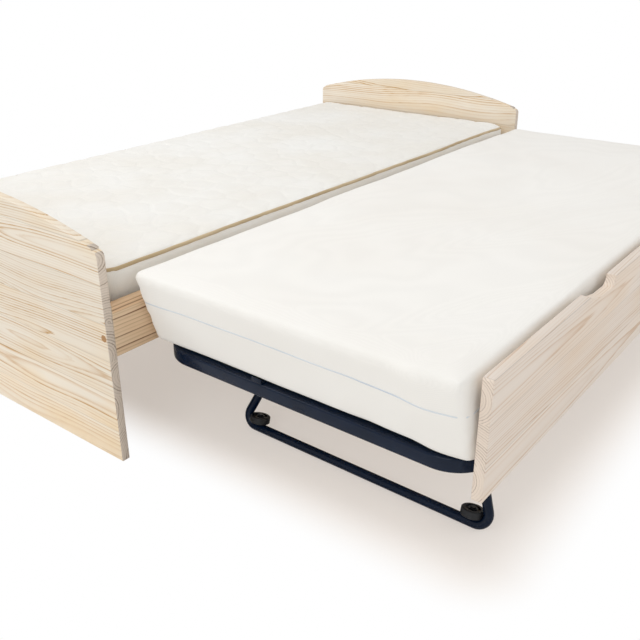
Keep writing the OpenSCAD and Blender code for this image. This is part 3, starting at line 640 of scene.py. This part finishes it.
second_mattress = finish_piece("trundle_mattress_cover", bm, cover, "trundle", "cover_fabric",
                               "trundle_mattress", smooth=180)
zip_cord = knit("pale_blue_zip_cord", light="dfe3e6", shade="cdd4dc", thread=0.0015, cloud_size=0.2)
ring_on(second_mattress, low.z + 0.117, 0.0022, "trundle_mattress_zip", zip_cord, "trundle",
        "cover_fabric", wobble=0.006)


# ---- Legs -------------------------------------------------------------------------------------
# Each leg is one round tube bent to a wide U: a bar along the floor, two uprights that
# lean in with a kink, and a bush across each upper end. Coated with the frame.

def bent_tube(points, bend_r, radius, steps=9, segments=28):
    """Sweeps a round section along straight runs, spun round a centre at each corner."""
    bm = bmesh.new()
    points = [Vector(p) for p in points]
    way = (points[1] - points[0]).normalized()
    turn = Vector((0, 0, 1)).rotation_difference(way).to_matrix().to_4x4()
    ring = bmesh.ops.create_circle(bm, segments=segments, radius=radius,
                                   matrix=Matrix.Translation(points[0]) @ turn)["verts"]
    rim = list({e for v in ring for e in v.link_edges})
    at = points[0]
    for k in range(1, len(points)):
        last = k == len(points) - 1
        cut = Vector((0, 0, 0))
        if not last:
            after = (points[k + 1] - points[k]).normalized()
            angle = way.angle(after)
            cut = way * bend_r * math.tan(angle / 2)
        grown = bmesh.ops.extrude_edge_only(bm, edges=rim)["geom"]
        moved = [g for g in grown if isinstance(g, bmesh.types.BMVert)]
        bmesh.ops.translate(bm, verts=moved, vec=points[k] - cut - at)
        rim = [g for g in grown if isinstance(g, bmesh.types.BMEdge)]
        at = points[k] - cut
        if last:
            break
        axis = way.cross(after).normalized()
        centre = at + axis.cross(way) * bend_r
        spun = bmesh.ops.spin(bm, geom=rim + moved, cent=centre, axis=axis, angle=angle,
                              steps=steps)["geom_last"]
        rim = [g for g in spun if isinstance(g, bmesh.types.BMEdge)]
        at = points[k] + after * bend_r * math.tan(angle / 2)
        way = after
    bmesh.ops.remove_doubles(bm, verts=bm.verts, dist=0.00005)
    bmesh.ops.recalc_face_normals(bm, faces=bm.faces)
    return bm


leg_r = 0.011
for end in ("foot", "head"):
    leg_low, leg_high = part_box(end + "_leg")
    bush_low, bush_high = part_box(end + "_bushes")
    pivot = (bush_low + bush_high) / 2
    out = -1 if end == "foot" else 1
    bar_x = (leg_low.x if end == "foot" else leg_high.x) - out * leg_r
    eyes = (bush_low.y + 0.013, bush_high.y - 0.013)
    bar = (leg_low.y + leg_r, leg_high.y - leg_r)
    kink_z, kink_in = 0.114, 0.044
    kink_x = bar_x + (pivot.x - bar_x) * (kink_z - leg_r) / (pivot.z - leg_r)
    corners = [(kink_x, bar[0] + kink_in, kink_z), (bar_x, bar[0], leg_r),
               (bar_x, bar[1], leg_r), (kink_x, bar[1] - kink_in, kink_z)]
    tops = [Vector((pivot.x, y, pivot.z)) for y in eyes]
    tops = [top + (Vector(near) - top).normalized() * 0.0085
            for top, near in ((tops[0], corners[0]), (tops[1], corners[3]))]
    bm = bent_tube([tops[0], *corners, tops[1]], 0.026, leg_r)
    finish_piece(end + "_leg_tube", bm, navy, end + "_leg", "navy_steel", end + "_leg", smooth=50)


# ---- Rollers ------------------------------------------------------------------------------------
# A black nylon hub in a moulded rubber tyre on each end of a foot bar, on a blackened
# axle with a domed cap. The tyre's shoulders are rounded and its tread is satin.

rubber, shader = new_material("moulded_black_rubber")
where = add(rubber, "TexCoord").outputs["Object"]
grain = add(rubber, "TexNoise", {"Vector": where, "Scale": 1100.0, "Detail": 3.0})
tint = add(rubber, "ValToRGB", [grain.outputs["Fac"]], stops=[(0.3, "0f1013"), (0.7, "1b1c20")])
rubber.node_tree.links.new(tint.outputs["Color"], shader.inputs["Base Color"])
shader.inputs["Roughness"].default_value = 0.52
relief = add(rubber, "Bump", {"Strength": 0.15, "Distance": 0.0002, "Height": grain.outputs["Fac"]})
rubber.node_tree.links.new(relief.outputs[0], shader.inputs["Normal"])

black, shader = new_material("blackened_steel_axle")
where = add(black, "TexCoord").outputs["Object"]
rub = add(black, "TexNoise", {"Vector": where, "Scale": 260.0, "Detail": 3.0})
tint = add(black, "ValToRGB", [rub.outputs["Fac"]], stops=[(0.35, "15171b"), (0.7, "2c2f35")])
black.node_tree.links.new(tint.outputs["Color"], shader.inputs["Base Color"])
shader.inputs["Metallic"].default_value = 0.6
shader.inputs["Roughness"].default_value = 0.33
for end in ("foot", "head"):
    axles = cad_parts[end + "_axles"]
    axles.data.materials.clear()
    axles.data.materials.append(black)
    for place in ("back", "front"):
        for part, material in (("hub", nylon), ("tyre", rubber)):
            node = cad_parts[f"{end}_{place}_{part}"]
            node.data.materials.clear()
            node.data.materials.append(material)


# ---- Studio ---------------------------------------------------------------------------------------
# A pale floor that runs out to plain white, large soft lamps over the back, the foot end
# and the panel side, and an even white sky.

floor_mat, shader = new_material("pale_studio_floor")
where = add(floor_mat, "TexCoord").outputs["Object"]
mottle = add(floor_mat, "TexNoise", {"Vector": where, "Scale": 0.7, "Detail": 2.0})
tint = add(floor_mat, "ValToRGB", [mottle.outputs["Fac"]], stops=[(0.3, "f3f1ee"), (0.7, "f7f5f3")])
floor_mat.node_tree.links.new(tint.outputs["Color"], shader.inputs["Base Color"])
shader.inputs["Roughness"].default_value = 0.9
# to the camera alone, the shadow under the bed is lifted and the floor round it fades to white
shaded_half, fade_width, shadow_lift = (0.80, 0.85, 0.0), 0.18, 0.50
reach = add(floor_mat, "VectorMath", [where], operation="ABSOLUTE")
reach = add(floor_mat, "VectorMath", [reach.outputs[0], shaded_half], operation="SUBTRACT")
reach = add(floor_mat, "VectorMath", [reach.outputs[0], (0.0, 0.0, 0.0)], operation="MAXIMUM")
reach = add(floor_mat, "VectorMath", [reach.outputs[0]], operation="LENGTH")
fade = add(floor_mat, "MapRange", [reach.outputs["Value"], 0.0, fade_width, 0.0, 1.0],
           interpolation_type="SMOOTHSTEP")
# the glow is painted light: warm next to the bed, where it tints the lifted shadow as painted warm bounce,
# and plain white further out
glow = add(floor_mat, "ValToRGB", [fade.outputs[0]], stops=[(0.0, "fff5ec"), (1.0, "ffffff")])
lift = add(floor_mat, "MapRange", [fade.outputs[0], 0.0, 1.0, shadow_lift, 1.0])
seen = add(floor_mat, "LightPath").outputs["Is Camera Ray"]
lift = add(floor_mat, "Math", [lift.outputs[0], seen], operation="MULTIPLY")
plain = add(floor_mat, "Emission", {"Color": glow.outputs["Color"], "Strength": 1.0})
mixed = add(floor_mat, "MixShader", [lift.outputs[0], shader.outputs[0], plain.outputs[0]])
floor_mat.node_tree.links.new(mixed.outputs[0],
                              floor_mat.node_tree.nodes["Material Output"].inputs["Surface"])
bm = bmesh.new()
bmesh.ops.create_grid(bm, x_segments=2, y_segments=2, size=20.0)
bmesh.ops.translate(bm, verts=bm.verts, vec=(0, 0, -0.0005))
mesh = bpy.data.meshes.new("studio_floor")
bm.to_mesh(mesh)
bm.free()
floor = bpy.data.objects.new("studio_floor", mesh)
bpy.context.collection.objects.link(floor)
mesh.materials.append(floor_mat)


def lamp(name, place, aim, size, power, colour=(1, 1, 1)):
    """A soft square lamp at a place, turned to aim."""
    light = bpy.data.lights.new(name, "AREA")
    light.energy = power
    light.size = size
    light.color = colour
    holder = bpy.data.objects.new(name, light)
    holder.location = place
    holder.rotation_euler = (Vector(aim) - Vector(place)).to_track_quat("-Z", "Y").to_euler()
    bpy.context.collection.objects.link(holder)


lamp("key_softbox", (-1.4, 2.2, 3.9), (0.2, 0, 0.3), 2.8, 76)
lamp("foot_softbox", (-3.8, -1.0, 2.2), (0, 0, 0.3), 2.2, 29, (0.90, 0.95, 1.0))
lamp("side_softbox", (1.6, -3.8, 2.0), (0.4, 0, 0.3), 2.2, 27)

world = bpy.data.worlds.new("white_studio")
world.use_nodes = True
bpy.context.scene.world = world
sky = world.node_tree.nodes["Background"]
sky.inputs["Color"].default_value = (1, 1, 1, 1)
sky.inputs["Strength"].default_value = 0.64
seen = world.node_tree.nodes.new("ShaderNodeLightPath")
white = world.node_tree.nodes.new("ShaderNodeBackground")
either = world.node_tree.nodes.new("ShaderNodeMixShader")
world.node_tree.links.new(seen.outputs["Is Camera Ray"], either.inputs[0])
world.node_tree.links.new(sky.outputs[0], either.inputs[1])
world.node_tree.links.new(white.outputs[0], either.inputs[2])
world.node_tree.links.new(either.outputs[0], world.node_tree.nodes["World Output"].inputs["Surface"])
white.inputs["Color"].default_value = (1, 1, 1, 1)
bpy.context.scene.view_settings.view_transform = "Standard"

camera_data = bpy.data.cameras.new("camera")
camera = bpy.data.objects.new("camera", camera_data)
bpy.context.collection.objects.link(camera)
camera_data.sensor_width = 36.0
camera_data.lens = 44.62
camera.location = (-1.9734, -1.3786, 1.1061)
down, heading, roll = math.radians(25.18), math.radians(37.79), math.radians(-0.12)
gaze = Vector((math.cos(down) * math.cos(heading), math.cos(down) * math.sin(heading), -math.sin(down)))
level = gaze.to_track_quat("-Z", "Y")
camera.rotation_euler = (level @ Matrix.Rotation(roll, 3, "Z").to_quaternion()).to_euler()
bpy.context.scene.camera = camera
